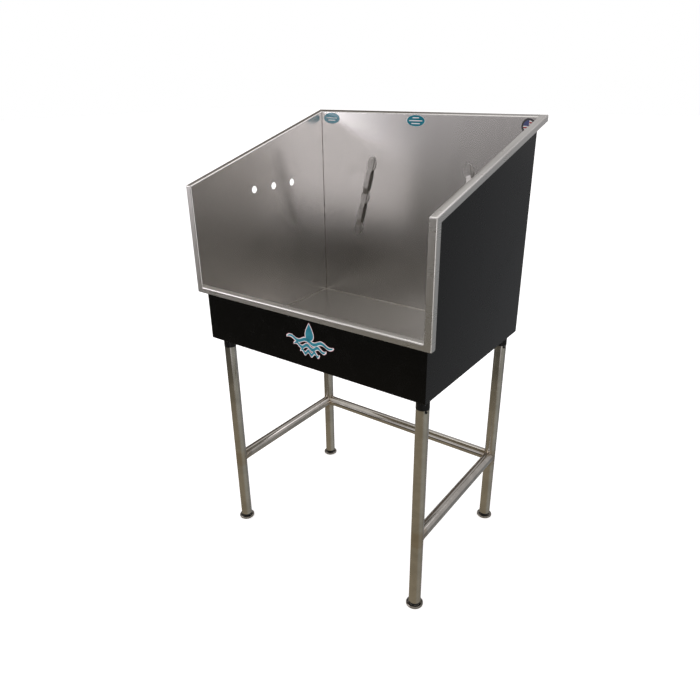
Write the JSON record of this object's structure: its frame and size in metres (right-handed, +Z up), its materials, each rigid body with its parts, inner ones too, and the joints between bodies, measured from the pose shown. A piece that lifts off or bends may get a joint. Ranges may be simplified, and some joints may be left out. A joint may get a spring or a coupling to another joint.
{
  "type": "pet bathtub",
  "caption": "Stainless pet grooming tub with a high back, sloping sides, a low front and black outer skins, on a tube-leg stand with levelling feet.",
  "frame": {"origin": "on the floor under the middle of the rim's outline", "axes": "+X to the user's right at the low front, +Y to the back wall, +Z up"},
  "size_m": [0.9144, 0.708, 1.5429],
  "materials": {
    "stainless_sheet": "No. 4 brushed sheet, 1.2 mm",
    "black_skin": "satin black coated sheet",
    "stainless_tube": "brushed tube",
    "stainless_bar": "satin flat bar",
    "stainless_foot": "turned, slightly dull",
    "socket_black": "gloss black coated steel",
    "nylon_insert": "black nylon",
    "drain_steel": "polished stainless",
    "drain_brass": "cast brass nut",
    "drain_rubber": "black rubber",
    "teal_label": "printed vinyl label, no lettering",
    "round_label": "printed vinyl label with plain bands",
    "badge": null
  },
  "bodies": {
    "tub_and_stand": {"left_wall": "stainless_sheet", "right_wall": "stainless_sheet", "back_wall": "stainless_sheet", "front_wall": "stainless_sheet", "floor_pan": "stainless_sheet", "left_skin": "black_skin", "right_skin": "black_skin", "back_skin": "black_skin", "front_skin": "black_skin", "drain_body": "drain_steel", "drain_gasket": "drain_rubber", "drain_locknut": "drain_brass", "drain_slip_nut": "drain_brass", "drain_tailpiece": "drain_steel", "leg_screws": "socket_black", "left_rail": "stainless_tube", "right_rail": "stainless_tube", "rear_rail": "stainless_tube", "tether_bar_left": "stainless_bar", "tether_bar_right": "stainless_bar", "oval_label_left": "teal_label", "oval_label_middle": "teal_label", "round_label_right": "round_label", "front_badge": "badge", "socket_plate_front_left": "socket_black", "leg_socket_front_left": "socket_black", "leg_front_left": "stainless_tube", "foot_insert_front_left": "nylon_insert", "socket_plate_front_right": "socket_black", "leg_socket_front_right": "socket_black", "leg_front_right": "stainless_tube", "foot_insert_front_right": "nylon_insert", "socket_plate_rear_left": "socket_black", "leg_socket_rear_left": "socket_black", "leg_rear_left": "stainless_tube", "foot_insert_rear_left": "nylon_insert", "socket_plate_rear_right": "socket_black", "leg_socket_rear_right": "socket_black", "leg_rear_right": "stainless_tube", "foot_insert_rear_right": "nylon_insert"},
    "strainer": {"drain_strainer": "drain_steel"},
    "levelling_foot_front_left": {"foot_front_left": "stainless_foot"},
    "levelling_foot_front_right": {"foot_front_right": "stainless_foot"},
    "levelling_foot_rear_left": {"foot_rear_left": "stainless_foot"},
    "levelling_foot_rear_right": {"foot_rear_right": "stainless_foot"}
  },
  "joints": [
    {"name": "level_front_left", "type": "slide", "parent": "tub_and_stand", "child": "levelling_foot_front_left", "axis": [0, 0, -1], "range_m": [0, 0.02]},
    {"name": "level_front_right", "type": "slide", "parent": "tub_and_stand", "child": "levelling_foot_front_right", "axis": [0, 0, -1], "range_m": [0, 0.02]},
    {"name": "level_rear_left", "type": "slide", "parent": "tub_and_stand", "child": "levelling_foot_rear_left", "axis": [0, 0, -1], "range_m": [0, 0.02]},
    {"name": "level_rear_right", "type": "slide", "parent": "tub_and_stand", "child": "levelling_foot_rear_right", "axis": [0, 0, -1], "range_m": [0, 0.02]},
    {"name": "strainer_lift", "type": "slide", "parent": "tub_and_stand", "child": "strainer", "axis": [0, 0, 1], "range_m": [0, 0.15]}
  ]
}
